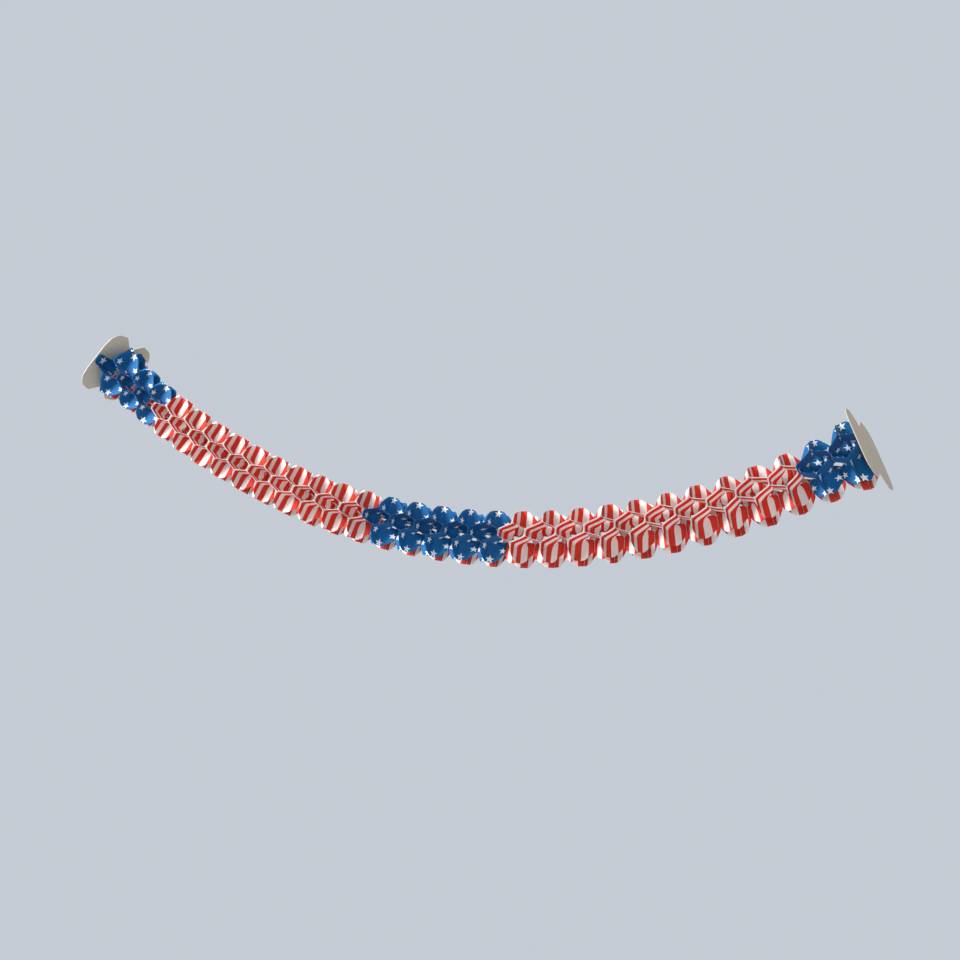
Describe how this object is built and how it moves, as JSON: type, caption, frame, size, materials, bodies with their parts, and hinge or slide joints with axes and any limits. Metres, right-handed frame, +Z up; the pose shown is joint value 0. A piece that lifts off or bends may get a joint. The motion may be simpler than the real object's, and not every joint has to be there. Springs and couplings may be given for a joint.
{
  "type": "paper garland",
  "caption": "Hanging tissue-paper honeycomb garland of die-cut sheets glued by turns at corners and sides, striped and starred, with a card at each end.",
  "frame": {"origin": "axis of the left end card's hanging hole, where the card meets the first sheet", "axes": "+X along the span from the left end to the right end, +Z up, -Y towards the front"},
  "size_m": [1.4549, 0.118, 0.5619],
  "materials": {
    "tissue_striped": "matt tissue printed with thirteen upright red and white stripes, white at both edges",
    "tissue_starred": "matt tissue, front half blue with staggered white stars, back half red and white stripes",
    "card": "plain uncoated board"
  },
  "bodies": {
    "root": {"starred_pair_01_02": "tissue_starred", "starred_sheet_03": "tissue_starred", "starred_sheet_04": "tissue_starred", "starred_sheet_05": "tissue_starred", "starred_sheet_06": "tissue_starred", "striped_sheet_07": "tissue_striped", "striped_sheet_08": "tissue_striped", "striped_sheet_09": "tissue_striped", "striped_sheet_10": "tissue_striped", "striped_sheet_11": "tissue_striped", "striped_sheet_12": "tissue_striped", "striped_sheet_13": "tissue_striped", "striped_sheet_14": "tissue_striped", "striped_sheet_15": "tissue_striped", "striped_sheet_16": "tissue_striped", "striped_sheet_17": "tissue_striped", "striped_sheet_18": "tissue_striped", "striped_sheet_19": "tissue_striped", "striped_sheet_20": "tissue_striped", "striped_sheet_21": "tissue_striped", "striped_sheet_22": "tissue_striped", "striped_sheet_23": "tissue_striped", "striped_sheet_24": "tissue_striped", "striped_sheet_25": "tissue_striped", "striped_sheet_26": "tissue_striped", "starred_sheet_27": "tissue_starred", "starred_sheet_28": "tissue_starred", "starred_sheet_29": "tissue_starred", "starred_sheet_30": "tissue_starred", "starred_sheet_31": "tissue_starred", "starred_sheet_32": "tissue_starred", "starred_sheet_33": "tissue_starred", "starred_sheet_34": "tissue_starred", "starred_sheet_35": "tissue_starred", "starred_sheet_36": "tissue_starred", "striped_sheet_37": "tissue_striped", "striped_sheet_38": "tissue_striped", "striped_sheet_39": "tissue_striped", "striped_sheet_40": "tissue_striped", "striped_sheet_41": "tissue_striped", "striped_sheet_42": "tissue_striped", "striped_sheet_43": "tissue_striped", "striped_sheet_44": "tissue_striped", "striped_sheet_45": "tissue_striped", "striped_sheet_46": "tissue_striped", "striped_sheet_47": "tissue_striped", "striped_sheet_48": "tissue_striped", "striped_sheet_49": "tissue_striped", "striped_sheet_50": "tissue_striped", "striped_sheet_51": "tissue_striped", "striped_sheet_52": "tissue_striped", "striped_sheet_53": "tissue_striped", "striped_sheet_54": "tissue_striped", "striped_sheet_55": "tissue_striped", "striped_sheet_56": "tissue_striped", "starred_sheet_57": "tissue_starred", "starred_sheet_58": "tissue_starred", "starred_pair_59_60": "tissue_starred", "end_card_left": "card", "end_card_right": "card"}
  },
  "joints": []
}
